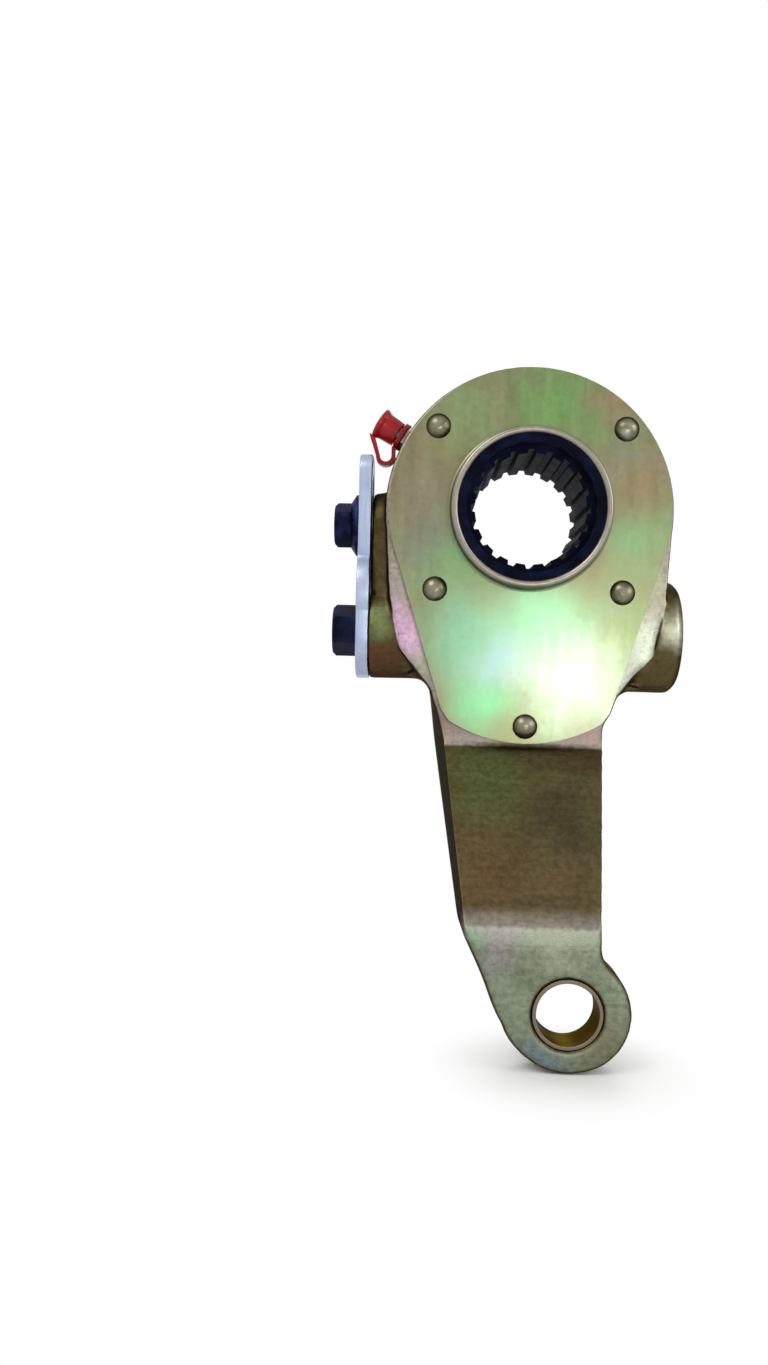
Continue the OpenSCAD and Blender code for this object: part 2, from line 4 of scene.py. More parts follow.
import bmesh
import bpy
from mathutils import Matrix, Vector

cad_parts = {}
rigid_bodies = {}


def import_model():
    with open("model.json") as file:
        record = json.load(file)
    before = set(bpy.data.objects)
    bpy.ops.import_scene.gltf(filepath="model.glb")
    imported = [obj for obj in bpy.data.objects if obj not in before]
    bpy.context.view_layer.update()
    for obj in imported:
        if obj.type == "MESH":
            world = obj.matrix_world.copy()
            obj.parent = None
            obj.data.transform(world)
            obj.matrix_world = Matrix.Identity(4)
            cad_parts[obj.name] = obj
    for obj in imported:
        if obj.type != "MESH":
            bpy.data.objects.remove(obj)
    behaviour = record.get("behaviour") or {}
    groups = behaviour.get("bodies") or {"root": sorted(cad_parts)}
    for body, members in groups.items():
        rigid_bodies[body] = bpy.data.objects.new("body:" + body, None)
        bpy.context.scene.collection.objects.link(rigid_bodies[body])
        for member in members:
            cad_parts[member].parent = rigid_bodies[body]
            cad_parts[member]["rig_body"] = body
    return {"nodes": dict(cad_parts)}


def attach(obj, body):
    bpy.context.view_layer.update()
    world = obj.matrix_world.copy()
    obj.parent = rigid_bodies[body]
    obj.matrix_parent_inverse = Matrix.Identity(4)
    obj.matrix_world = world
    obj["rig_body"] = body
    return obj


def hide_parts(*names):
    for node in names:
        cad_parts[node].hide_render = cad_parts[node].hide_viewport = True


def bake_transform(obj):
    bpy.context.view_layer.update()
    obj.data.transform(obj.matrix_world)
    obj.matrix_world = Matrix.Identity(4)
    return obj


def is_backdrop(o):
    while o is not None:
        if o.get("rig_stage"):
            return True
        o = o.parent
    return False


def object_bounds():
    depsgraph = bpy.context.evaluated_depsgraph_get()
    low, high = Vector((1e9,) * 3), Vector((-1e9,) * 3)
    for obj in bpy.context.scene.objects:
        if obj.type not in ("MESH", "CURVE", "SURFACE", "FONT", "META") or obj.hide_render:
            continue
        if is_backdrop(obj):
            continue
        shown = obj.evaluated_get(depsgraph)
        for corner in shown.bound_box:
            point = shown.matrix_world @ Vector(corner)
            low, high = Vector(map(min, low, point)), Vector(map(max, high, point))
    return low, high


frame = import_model()
cad_low, cad_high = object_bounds()
scene = bpy.context.scene
scene.view_settings.view_transform = "Standard"


# Studio sky: plain white all round, like a light tent.
# The camera, mirror finishes and gaps see full white, and matte surfaces are lit by half of it.
def linear(code):
    channels = [int(code[i:i + 2], 16) / 255 for i in (1, 3, 5)]
    return [c / 12.92 if c <= 0.04045 else ((c + 0.055) / 1.055) ** 2.4 for c in channels] + [1.0]


def add(tree, kind, sockets=None, stops=None, **settings):
    made = tree.nodes.new(kind)
    for key, value in settings.items():
        setattr(made, key, value)
    for key, value in (sockets or {}).items():
        if isinstance(value, bpy.types.NodeSocket):
            tree.links.new(value, made.inputs[key])
        else:
            made.inputs[key].default_value = value
    if stops:
        marks = made.color_ramp.elements
        while len(marks) < len(stops):
            marks.new(0.5)
        for mark, (place, code) in zip(marks, stops):
            mark.position = place
            mark.color = linear(code)
    return made


SKY_ON_MATTE = 0.5
sky = bpy.data.worlds.new("white_studio")
sky.use_nodes = True
sky.node_tree.nodes.clear()
tree = sky.node_tree
ray = add(tree, "ShaderNodeLightPath")
seen = add(tree, "ShaderNodeMath", {
    0: ray.outputs["Is Camera Ray"], 1: ray.outputs["Is Glossy Ray"]}, operation="MAXIMUM")
seen = add(tree, "ShaderNodeMath", {
    0: seen.outputs[0], 1: ray.outputs["Is Transmission Ray"]}, operation="MAXIMUM")
level = add(tree, "ShaderNodeMapRange", {"Value": seen.outputs[0], "To Min": SKY_ON_MATTE})
white = add(tree, "ShaderNodeBackground", {"Color": linear("#FFFFFF"), "Strength": level.outputs[0]})
add(tree, "ShaderNodeOutputWorld", {"Surface": white.outputs[0]})
scene.world = sky


# Studio floor: a white paper sweep just under the arm's eye, which the part stands on.
# Away from the part it glows plain white, so that only the part's own shadow shows on it.
def new_finish(name):
    finish = bpy.data.materials.new(name)
    finish.use_nodes = True
    finish.node_tree.nodes.clear()
    return finish, finish.node_tree


def show(tree, shader):
    add(tree, "ShaderNodeOutputMaterial", {"Surface": shader.outputs[0]})


FLOOR_HALF = 3.0
FLOOR_DROP = 0.0002
SHADOW_CENTRE = (0.011, -0.053)
SHADOW_FADE = (0.004, 0.045)
floor_z = cad_low.z - FLOOR_DROP
floor_mesh = bpy.data.meshes.new("floor")
floor_mesh.from_pydata(
    [(x * FLOOR_HALF, y * FLOOR_HALF, floor_z) for x, y in ((-1, -1), (1, -1), (1, 1), (-1, 1))],
    [], [(0, 1, 2, 3)])
floor = bpy.data.objects.new("floor", floor_mesh)
scene.collection.objects.link(floor)
floor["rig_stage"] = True
paper, tree = new_finish("white_paper_sweep")
place = add(tree, "ShaderNodeTexCoord")
away = add(tree, "ShaderNodeVectorMath", {
    0: place.outputs["Object"], 1: (*SHADOW_CENTRE, floor_z)}, operation="DISTANCE")
fade = add(tree, "ShaderNodeMapRange", {
    "Value": away.outputs["Value"], "From Min": SHADOW_FADE[0], "From Max": SHADOW_FADE[1]},
    interpolation_type="SMOOTHSTEP")
matte = add(tree, "ShaderNodeBsdfDiffuse", {"Color": linear("#F6F6F4")})
glow = add(tree, "ShaderNodeEmission", {"Color": linear("#FFFFFF")})
show(tree, add(tree, "ShaderNodeMixShader", {
    0: fade.outputs[0], 1: matte.outputs[0], 2: glow.outputs[0]}))
floor_mesh.materials.append(paper)


# Lamps: soft round boxes above left, at the right and behind, and a small one for the cover's lower part.
# Each line gives the lamp's place, the point it faces, its width and height, and its power in watts.
SOFTBOXES = {
    "softbox_above_left": ((-0.45, -0.55, 0.65), (0.0, 0.0, -0.03), (0.5, 0.5), 3.0),
    "softbox_right": ((0.70, -0.35, 0.25), (0.0, 0.0, -0.05), (0.5, 0.5), 1.8),
    "softbox_on_cover": ((0.090, -0.50, -0.060), (0.02, -0.02, -0.054), (0.15, 0.09), 0.36),
    "softbox_behind": ((0.20, 0.70, 0.50), (0.0, 0.0, -0.05), (0.5, 0.5), 2.5),
}
for name, (spot, aim, (wide, tall), power) in SOFTBOXES.items():
    lamp = bpy.data.lights.new(name, "AREA")
    lamp.shape = "ELLIPSE"
    lamp.size = wide
    lamp.size_y = tall
    lamp.energy = power
    held = bpy.data.objects.new(name, lamp)
    held.location = spot
    held.rotation_euler = (Vector(aim) - Vector(spot)).to_track_quat("-Z", "Y").to_euler()
    scene.collection.objects.link(held)


# Camera: it stands where the photograph was taken from, as found from about thirty points on the part.
# The focal length is in pixels of the photograph's height, and the turns are in degrees.
PHOTO_H = 1365
FOCAL_PX = 1142
SENSOR_MM = 36.0
NEAREST = 0.01
CAMERA_AT = (-0.0343, -0.3868, -0.0512)
CAMERA_TURN = (89.174, -1.386, 1.764)
lens = bpy.data.cameras.new("camera")
lens.sensor_fit = "VERTICAL"
lens.sensor_height = SENSOR_MM
lens.lens = FOCAL_PX * SENSOR_MM / PHOTO_H
lens.clip_start = NEAREST
camera = bpy.data.objects.new("camera", lens)
camera.location = CAMERA_AT
camera.rotation_euler = [math.radians(turn) for turn in CAMERA_TURN]
scene.collection.objects.link(camera)
scene.camera = camera


# Forged arm: one drop forging of carbon steel, bored for the gear and the worm, its arm cranked forward.
# Hot dies leave every edge round, so the solid's skin is made even and smoothed to the dies' edge radius.
# Zinc in yellow chromate: olive brown where thick, lilac on the machined faces, grey-green at the eye.
def new_piece(name, mesh):
    piece = bpy.data.objects.new(name, mesh)
    scene.collection.objects.link(piece)
    return piece


def settle(piece):
    mesh = bpy.data.meshes.new_from_object(
        piece.evaluated_get(bpy.context.evaluated_depsgraph_get()))
    mesh.name = piece.name
    piece.modifiers.clear()
    piece.data = mesh
    return mesh


def stand_for(node):
    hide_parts(node)


def share_of(value, none, whole):
    share = min(max((value - none) / (whole - none), 0.0), 1.0)
    return share * share * (3 - 2 * share)


MM = 0.001
WELD = 0.001 * MM
SKIN_GRID = 0.6 * MM
arm_skin = bmesh.new()
arm_skin.from_mesh(frame["nodes"]["housing"].data)
bmesh.ops.remove_doubles(arm_skin, verts=arm_skin.verts, dist=WELD)
arm_mesh = bpy.data.meshes.new("forged_arm")
arm_skin.to_mesh(arm_mesh)
arm_skin.free()
arm = new_piece("forged_arm", arm_mesh)
close_over = arm.modifiers.new("close_over", "REMESH")
close_over.mode = "VOXEL"
close_over.voxel_size = SKIN_GRID
arm_mesh = settle(arm)

# The dies' draft leans the arm's left side, which flares out again at the neck under the body.
DRAFT_EDGE = Vector((-0.0256, -0.0165, -0.0747))
DRAFT_LEAN_Y = 0.194
DRAFT_LEAN_Z = -0.043
NECK_FLARE = 0.30
DRAFT_FADE_Z = (-0.0600, -0.0660)
for point in arm_mesh.vertices:
    spot = point.co
    past = spot - DRAFT_EDGE
    side_x = DRAFT_EDGE.x - DRAFT_LEAN_Y * past.y - DRAFT_LEAN_Z * past.z
    side_x -= NECK_FLARE * max(past.z, 0.0)
    if spot.x < side_x:
        spot.x += share_of(spot.z, *DRAFT_FADE_Z) * (side_x - spot.x)

# The lock bolt's pad reaches out to the lock plate, and the worm's boss below it stays as it is.
PAD_FACE_X = (-0.0472, -0.0480)
PAD_REACH = 2.6 * MM
WORM_Z = -0.0394
OUTSIDE_BOSS_R = (0.0159, 0.0164)
for point in arm_mesh.vertices:
    spot = point.co
    from_worm = math.hypot(spot.y, spot.z - WORM_Z)
    spot.x -= PAD_REACH * share_of(spot.x, *PAD_FACE_X) * share_of(from_worm, *OUTSIDE_BOSS_R)

# Smoothing draws the lock bolt's hole in, so it is opened out first and the bolt turns clear of it.
BOLT_Z = -0.0039
BOLT_HOLE_R = 4.7 * MM
BOLT_ROOM = 0.4 * MM
for point in arm_mesh.vertices:
    spot = point.co
    if spot.x < 0 and math.hypot(spot.y, spot.z - BOLT_Z) < BOLT_HOLE_R:
        spot.y *= 1 + BOLT_ROOM / BOLT_HOLE_R
        spot.z += (spot.z - BOLT_Z) * BOLT_ROOM / BOLT_HOLE_R

# The arm's right side is a little wider and the eye's lower left a little fuller, clear of the eye's bore.
EYE_X = 0.0107
EYE_Z = -0.150
EYE_BORE_R = (0.0115, 0.0165)
EYE_SWELL = 2.2 * MM
EYE_SWELL_LEFT = (0.0, 0.0070)
EYE_SWELL_Z = (-0.1360, -0.1520)
EYE_SWELL_END_Z = (-0.1680, -0.1520)
ARM_WIDER = 1.4 * MM
ARM_WIDER_X = (0.0080, 0.0200)
ARM_WIDER_Z = (-0.0680, -0.0780)
for point in arm_mesh.vertices:
    spot = point.co
    left = EYE_X - spot.x
    clear = share_of(math.hypot(left, spot.z - EYE_Z), *EYE_BORE_R)
    swell = clear * share_of(left, *EYE_SWELL_LEFT)
    swell *= share_of(spot.z, *EYE_SWELL_Z) * share_of(spot.z, *EYE_SWELL_END_Z)
    wider = clear * share_of(spot.x, *ARM_WIDER_X) * share_of(spot.z, *ARM_WIDER_Z)
    spot.x += ARM_WIDER * wider - EYE_SWELL * swell

# The corners under the two bosses are smoothed further, which gives them the dies' larger fillet.
CORNERS = ((0.0360, -0.0575), (0.0285, -0.0645))
CORNER_R = (0.0090, 0.0050)
CORNER_Y = (0.0169, 0.0156)
SMOOTHING = 0.5
DIE_PASSES = 16
FILLET_PASSES = 60
FACES_KEPT = 0.25
under_bosses = arm.vertex_groups.new(name="under_bosses")
for point in arm_mesh.vertices:
    spot = point.co
    to_corner = min(math.hypot(abs(spot.x) - x, spot.z - z) for x, z in CORNERS)
    in_corner = share_of(to_corner, *CORNER_R) * share_of(abs(spot.y), *CORNER_Y)
    if in_corner > 0:
        under_bosses.add([point.index], in_corner, "REPLACE")
die_radius = arm.modifiers.new("die_radius", "SMOOTH")
die_radius.factor = SMOOTHING
die_radius.iterations = DIE_PASSES
boss_fillet = arm.modifiers.new("boss_fillet", "SMOOTH")
boss_fillet.vertex_group = under_bosses.name
boss_fillet.factor = SMOOTHING
boss_fillet.iterations = FILLET_PASSES
fewer_faces = arm.modifiers.new("fewer_faces", "DECIMATE")
fewer_faces.ratio = FACES_KEPT
arm_mesh = settle(arm)
arm_mesh.shade_smooth()
stand_for("housing")
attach(arm, "housing")

# Soft spots of another colour, whose edges stray with a noise: clouds in a chromate film, and some painted
# highlights.
# Each spot has its place from the front, its spread and its colour.
CLOUD_STRAY = 18 * MM
CLOUD_WAVE = 16 * MM
CLOUD_REACH = 1.4
CLOUD_DEPTH = 0.85


def soft_spots(tree, surface_colour, place, spots):
    drift = add(tree, "ShaderNodeTexNoise", {"Vector": place, "Scale": 1 / CLOUD_WAVE, "Detail": 4.0})
    moved = add(tree, "ShaderNodeVectorMath", {
        0: drift.outputs["Color"], 1: (CLOUD_STRAY, 0.0, CLOUD_STRAY), 2: place},
        operation="MULTIPLY_ADD")
    moved = add(tree, "ShaderNodeVectorMath", {
        0: moved.outputs[0], 1: (1.0, 0.0, 1.0)}, operation="MULTIPLY")
    for x, z, spread, code in spots:
        centre = (x + CLOUD_STRAY / 2, 0.0, z + CLOUD_STRAY / 2)
        away = add(tree, "ShaderNodeVectorMath", {
            0: moved.outputs[0], 1: centre}, operation="DISTANCE")
        here = add(tree, "ShaderNodeMapRange", {
            "Value": away.outputs["Value"], "From Min": spread * CLOUD_REACH, "From Max": 0.0,
            "To Max": CLOUD_DEPTH}, interpolation_type="SMOOTHSTEP")
        surface_colour = add(tree, "ShaderNodeMix", {
            0: here.outputs[0], 6: surface_colour, 7: linear(code)}, data_type="RGBA").outputs[2]
    return surface_colour


# As forged: a thick brown film in patches. Faces turned to the left or right are painted darker, as painted
# shade.
FILM_PATCH = 35 * MM
SIDE_TURN = (0.45, 0.90)
SIDE_PAINTED_SHADE = 0.8
# The pale spot on the right boss and the olive-green spot on the left boss are painted highlights; the
# other spots are the film's own colour.
SLOPE_SPOTS_AND_BOSS_HIGHLIGHTS = [
    (-0.011, -0.086, 0.016, "#4E5632"), (0.011, -0.097, 0.015, "#453F2C"),
    (-0.013, -0.111, 0.014, "#5A4630"), (0.006, -0.114, 0.012, "#5C4E36"),
    (0.050, -0.037, 0.007, "#C4C7B0"), (-0.046, -0.050, 0.008, "#5C3E2C"),
    (-0.049, -0.038, 0.007, "#6E7A50")]
chromate_on_forging, tree = new_finish("yellow_chromate_on_forging")
place = add(tree, "ShaderNodeTexCoord")
where = add(tree, "ShaderNodeSeparateXYZ", {0: place.outputs["Object"]})
facing = add(tree, "ShaderNodeSeparateXYZ", {0: place.outputs["Normal"]})
patches = add(tree, "ShaderNodeTexNoise", {
    "Vector": place.outputs["Object"], "Scale": 1 / FILM_PATCH, "Detail": 5.0, "Roughness": 0.6,
    "Distortion": 0.8})
brown = add(tree, "ShaderNodeValToRGB", {0: patches.outputs["Fac"]}, stops=[
    (0.30, "#3C3220"), (0.43, "#4C412A"), (0.54, "#574E33"), (0.64, "#4E5432"), (0.74, "#665650")])
surface_colour = soft_spots(tree, brown.outputs[0], place.outputs["Object"], SLOPE_SPOTS_AND_BOSS_HIGHLIGHTS)
# Painted shade: faces turned to the left or right are mixed towards dark brown.
painted_side_shade = add(tree, "ShaderNodeMath", {0: facing.outputs["X"]}, operation="ABSOLUTE")
painted_side_shade = add(tree, "ShaderNodeMapRange", {
    "Value": painted_side_shade.outputs[0], "From Min": SIDE_TURN[0], "From Max": SIDE_TURN[1], "To Max": SIDE_PAINTED_SHADE})
surface_colour = add(tree, "ShaderNodeMix", {
    0: painted_side_shade.outputs[0], 6: surface_colour, 7: linear("#362F20")}, data_type="RGBA").outputs[2]

# As machined: a thin lilac film on the two faces under the covers, within the flanks' edges, with pits.
# The pits are drawn coarser than real ones, so that they show.
MACHINED_Y = 0.0165
MACHINED_DEPTH = (0.9 * MM, 0.4 * MM)
MACHINED_TURN = (0.55, 0.80)
FLANK_EDGE = ((0.0450, 0.0, -0.0279), (0.0410, 0.0, -0.0457), (0.0272, 0.0, -0.0633))
FLANK_BLUR = (0.1 * MM, -0.2 * MM)
BOSSES_END_Z = (-0.0585, -0.0590)
PITTING = 1.1 * MM
PITS_DARK = 0.55
# The two palest spots, on the right flank's middle and its lower corner, are painted highlights.
FACE_SPOTS_AND_FLANK_HIGHLIGHTS = [
    (-0.041, -0.040, 0.011, "#C79FBE"), (-0.036, -0.053, 0.007, "#9C9A8C"),
    (-0.024, -0.070, 0.010, "#7A6462"), (0.022, -0.070, 0.009, "#8E7C78"),
    (0.040, -0.043, 0.013, "#C9D3BD"), (0.043, -0.024, 0.009, "#A3A488"),
    (0.030, -0.060, 0.009, "#D2DAC8")]
depth = add(tree, "ShaderNodeMath", {0: where.outputs["Y"]}, operation="ABSOLUTE")
depth = add(tree, "ShaderNodeMath", {0: depth.outputs[0], 1: MACHINED_Y}, operation="SUBTRACT")
depth = add(tree, "ShaderNodeMath", {0: depth.outputs[0]}, operation="ABSOLUTE")
machined = add(tree, "ShaderNodeMapRange", {
    "Value": depth.outputs[0], "From Min": MACHINED_DEPTH[0], "From Max": MACHINED_DEPTH[1]})
across = add(tree, "ShaderNodeMath", {0: where.outputs["X"]}, operation="ABSOLUTE")
across = add(tree, "ShaderNodeCombineXYZ", {"X": across.outputs[0], "Z": where.outputs["Z"]})
inside = add(tree, "ShaderNodeMapRange", {
    "Value": where.outputs["Z"], "From Min": BOSSES_END_Z[1], "From Max": BOSSES_END_Z[0]})
for high, low in zip(FLANK_EDGE, FLANK_EDGE[1:]):
    run = Vector(high) - Vector(low)
    outward = Vector((run.z, 0.0, -run.x)).normalized()
    past_edge = add(tree, "ShaderNodeVectorMath", {0: across.outputs[0], 1: high}, operation="SUBTRACT")
    past_edge = add(tree, "ShaderNodeVectorMath", {
        0: past_edge.outputs[0], 1: outward}, operation="DOT_PRODUCT")
    past_edge = add(tree, "ShaderNodeMapRange", {
        "Value": past_edge.outputs["Value"], "From Min": FLANK_BLUR[0], "From Max": FLANK_BLUR[1]})
    inside = add(tree, "ShaderNodeMath", {
        0: inside.outputs[0], 1: past_edge.outputs[0]}, operation="MULTIPLY")
below = add(tree, "ShaderNodeMapRange", {
    "Value": where.outputs["Z"], "From Min": BOSSES_END_Z[0], "From Max": BOSSES_END_Z[1]})
inside = add(tree, "ShaderNodeMath", {0: inside.outputs[0], 1: below.outputs[0]}, operation="MAXIMUM")
front = add(tree, "ShaderNodeMath", {0: facing.outputs["Y"]}, operation="ABSOLUTE")
level = add(tree, "ShaderNodeMapRange", {
    "Value": front.outputs[0], "From Min": MACHINED_TURN[0], "From Max": MACHINED_TURN[1]})
machined = add(tree, "ShaderNodeMath", {
    0: machined.outputs[0], 1: inside.outputs[0]}, operation="MULTIPLY")
machined = add(tree, "ShaderNodeMath", {0: machined.outputs[0], 1: level.outputs[0]}, operation="MULTIPLY")
lilac = add(tree, "ShaderNodeValToRGB", {0: patches.outputs["Fac"]}, stops=[
    (0.34, "#857C6E"), (0.46, "#9A8F84"), (0.56, "#948C86"), (0.66, "#8B947C")])
lilac = soft_spots(tree, lilac.outputs[0], place.outputs["Object"], FACE_SPOTS_AND_FLANK_HIGHLIGHTS)
pitted = add(tree, "ShaderNodeTexNoise", {
    "Vector": place.outputs["Object"], "Scale": 1 / PITTING, "Detail": 3.0, "Roughness": 0.7})
pitted = add(tree, "ShaderNodeMapRange", {
    "Value": pitted.outputs["Fac"], "From Min": 0.56, "From Max": 0.70, "To Max": PITS_DARK})
lilac = add(tree, "ShaderNodeMix", {
    0: pitted.outputs[0], 6: lilac, 7: linear("#6B6456")}, data_type="RGBA").outputs[2]
surface_colour = add(tree, "ShaderNodeMix", {
    0: machined.outputs[0], 6: surface_colour, 7: lilac}, data_type="RGBA").outputs[2]

# The eye's front face is ground, so its film is thin and grey-green, and a pale band along the knee's bend
# above it is a painted highlight.
EYE_FACE_Y = (-0.0555, -0.0585)
EYE_TURN = (0.86, 0.97)
EYE_CLOUDS = [
    (-0.012, -0.131, 0.009, "#7F7878"), (-0.019, -0.127, 0.006, "#64866A"),
    (0.008, -0.132, 0.010, "#868C78"), (0.004, -0.164, 0.009, "#68747C"),
    (0.022, -0.158, 0.010, "#6F6C56")]
KNEE = (0.0, -0.0580, -0.1245)
KNEE_R = (6.0 * MM, 0.4 * MM)
KNEE_PAINTED_HIGHLIGHT = 0.32
level = add(tree, "ShaderNodeMapRange", {
    "Value": front.outputs[0], "From Min": EYE_TURN[0], "From Max": EYE_TURN[1]})
on_eye = add(tree, "ShaderNodeMapRange", {
    "Value": where.outputs["Y"], "From Min": EYE_FACE_Y[0], "From Max": EYE_FACE_Y[1]})
on_eye = add(tree, "ShaderNodeMath", {0: on_eye.outputs[0], 1: level.outputs[0]}, operation="MULTIPLY")
eye_film = add(tree, "ShaderNodeValToRGB", {0: patches.outputs["Fac"]}, stops=[
    (0.32, "#6A6C58"), (0.45, "#747D68"), (0.55, "#78816F"), (0.66, "#6D7674"), (0.75, "#827A7C")])
eye_film = soft_spots(tree, eye_film.outputs[0], place.outputs["Object"], EYE_CLOUDS)
surface_colour = add(tree, "ShaderNodeMix", {
    0: on_eye.outputs[0], 6: surface_colour, 7: eye_film}, data_type="RGBA").outputs[2]
# Painted highlight: a pale band along the knee's bend.
edge_on = add(tree, "ShaderNodeVectorMath", {
    0: place.outputs["Object"], 1: (0.0, 1.0, 1.0)}, operation="MULTIPLY")
near = add(tree, "ShaderNodeVectorMath", {0: edge_on.outputs[0], 1: KNEE}, operation="DISTANCE")
knee_highlight = add(tree, "ShaderNodeMapRange", {
    "Value": near.outputs["Value"], "From Min": KNEE_R[0], "From Max": KNEE_R[1], "To Max": KNEE_PAINTED_HIGHLIGHT},
    interpolation_type="SMOOTHSTEP")
surface_colour = add(tree, "ShaderNodeMix", {
    0: knee_highlight.outputs[0], 6: surface_colour, 7: linear("#ACA6A2")}, data_type="RGBA").outputs[2]

# Scale pits and faint grinding marks across the arm make the film sandy, half dull and slightly uneven.
# Both are drawn coarser than real ones, so that they show.
SCALE_PIT = 1.8 * MM
GRIND_MARK = 1.2 * MM
GRIND_LONG = 0.06
GRIND_SHARE = 0.25
pits = add(tree, "ShaderNodeTexNoise", {
    "Vector": place.outputs["Object"], "Scale": 1 / SCALE_PIT, "Detail": 4.0, "Roughness": 0.6})
along = add(tree, "ShaderNodeMapping", {
    "Vector": place.outputs["Object"], "Scale": (GRIND_LONG, 1.0, 1.0)})
grinding = add(tree, "ShaderNodeTexNoise", {
    "Vector": along.outputs[0], "Scale": 1 / GRIND_MARK, "Detail": 2.0})
marks = add(tree, "ShaderNodeMix", {
    0: GRIND_SHARE, 2: pits.outputs["Fac"], 3: grinding.outputs["Fac"]}, data_type="FLOAT")
sandy = add(tree, "ShaderNodeMapRange", {
    "Value": marks.outputs[0], "From Min": 0.38, "From Max": 0.62, "To Min": 0.80, "To Max": 1.20})
surface_colour = add(tree, "ShaderNodeVectorMath", {0: surface_colour, "Scale": sandy.outputs[0]}, operation="SCALE")
dull = add(tree, "ShaderNodeMapRange", {
    "Value": marks.outputs[0], "From Min": 0.3, "From Max": 0.7, "To Min": 0.36, "To Max": 0.54})
dents = add(tree, "ShaderNodeBump", {
    "Height": marks.outputs[0], "Strength": 0.5, "Distance": 0.4 * MM})
show(tree, add(tree, "ShaderNodeBsdfPrincipled", {
    "Base Color": surface_colour.outputs[0], "Metallic": 0.9, "Roughness": dull.outputs[0],
    "Normal": dents.outputs[0], "Specular Tint": linear("#6E6450")}))
arm_mesh.materials.clear()
arm_mesh.materials.append(chromate_on_forging)


# Clevis bush: a thin turned steel bush pressed into the arm's eye, where the push rod's clevis pin turns.
# It took the same chromate as the arm, dark olive inside; its eased ends are painted paler, as a painted
# highlight.
# The turning tool's rings are drawn coarser than the real feed, so that they show.
FLAT_ANGLE = math.radians(0.5)
RIM_ANGLE = math.radians(35)
CREASE_ANGLE = math.radians(50)
EASE_STEPS = 2
LARGE_FACES_LEAD = 100


def eased(node, name, width, finish):
    shape = bmesh.new()
    shape.from_mesh(frame["nodes"][node].data)
    bmesh.ops.remove_doubles(shape, verts=shape.verts, dist=WELD)
    bmesh.ops.dissolve_limit(shape, angle_limit=FLAT_ANGLE, verts=shape.verts, edges=shape.edges)
    rims = [e for e in shape.edges if e.is_manifold and e.calc_face_angle() > RIM_ANGLE]
    bmesh.ops.bevel(
        shape, geom=rims, offset=width, segments=EASE_STEPS, profile=0.5, affect="EDGES",
        clamp_overlap=True)
    mesh = bpy.data.meshes.new(name)
    shape.to_mesh(mesh)
    shape.free()
    mesh.shade_smooth()
    mesh.set_sharp_from_angle(angle=CREASE_ANGLE)
    piece = new_piece(name, mesh)
    even = piece.modifiers.new("even_light", "WEIGHTED_NORMAL")
    even.weight = LARGE_FACES_LEAD
    even.keep_sharp = True
    mesh = settle(piece)
    mesh.materials.clear()
    mesh.materials.append(finish)
    return piece


def dress_up(node, name, width, finish):
    piece = eased(node, name, width, finish)
    stand_for(node)
    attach(piece, frame["nodes"][node]["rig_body"])


TOOL_FEED = 0.6 * MM
RING_LONG = 0.05
turned_steel, tree = new_finish("turned_bush_steel")
place = add(tree, "ShaderNodeTexCoord")
stretch = add(tree, "ShaderNodeMapping", {
    "Vector": place.outputs["Object"], "Scale": (RING_LONG, 1.0, RING_LONG)})
rings = add(tree, "ShaderNodeTexNoise", {
    "Vector": stretch.outputs[0], "Scale": 1 / TOOL_FEED, "Detail": 2.0})
facing = add(tree, "ShaderNodeSeparateXYZ", {0: place.outputs["Normal"]})
# Painted highlight: faces turned to the front or back are painted paler.
lit_ends = add(tree, "ShaderNodeMath", {0: facing.outputs["Y"]}, operation="ABSOLUTE")
bore = add(tree, "ShaderNodeValToRGB", {0: rings.outputs["Fac"]}, stops=[
    (0.3, "#544B2E"), (0.7, "#6A6040")])
steel = add(tree, "ShaderNodeMix", {
    0: lit_ends.outputs[0], 6: bore.outputs[0], 7: linear("#756A5C")}, data_type="RGBA")
show(tree, add(tree, "ShaderNodeBsdfPrincipled", {
    "Base Color": steel.outputs[2], "Metallic": 1.0, "Roughness": 0.42,
    "Specular Tint": linear("#8A8266")}))
dress_up("clevis_bush", "clevis_bush_turned", 0.3 * MM, turned_steel)


# Worm gear and worm: hobbed and turned steel, with a splined bore in the gear for the brake camshaft.
# Hardening and phosphating leave the teeth and splines a dull navy black that hardly shines.
def clouded(name, size, detail, stops, looks, dull=None):
    finish, tree = new_finish(name)
    place = add(tree, "ShaderNodeTexCoord")
    clouds = add(tree, "ShaderNodeTexNoise", {
        "Vector": place.outputs["Object"], "Scale": 1 / size, "Detail": detail})
    tone = add(tree, "ShaderNodeValToRGB", {0: clouds.outputs["Fac"]}, stops=stops)
    shader = add(tree, "ShaderNodeBsdfPrincipled", {"Base Color": tone.outputs[0], **looks})
    if dull:
        rough = add(tree, "ShaderNodeMapRange", {
            "Value": clouds.outputs["Fac"], "From Min": 0.3, "From Max": 0.7,
            "To Min": dull[0], "To Max": dull[1]})
        tree.links.new(rough.outputs[0], shader.inputs["Roughness"])
    show(tree, shader)
    return finish


def colour_node(finish, *names):
    for name in names:
        for held in frame["nodes"][name].material_slots:
            held.material = finish


OXIDE_CLOUD = 6 * MM
phosphate = clouded(
    "navy_black_phosphate", OXIDE_CLOUD, 4.0,
    [(0.35, "#07080F"), (0.55, "#0C0F20"), (0.75, "#141A36")],
    {"Specular IOR Level": 0.02}, dull=(0.50, 0.66))
colour_node(phosphate, "worm_gear", "worm")


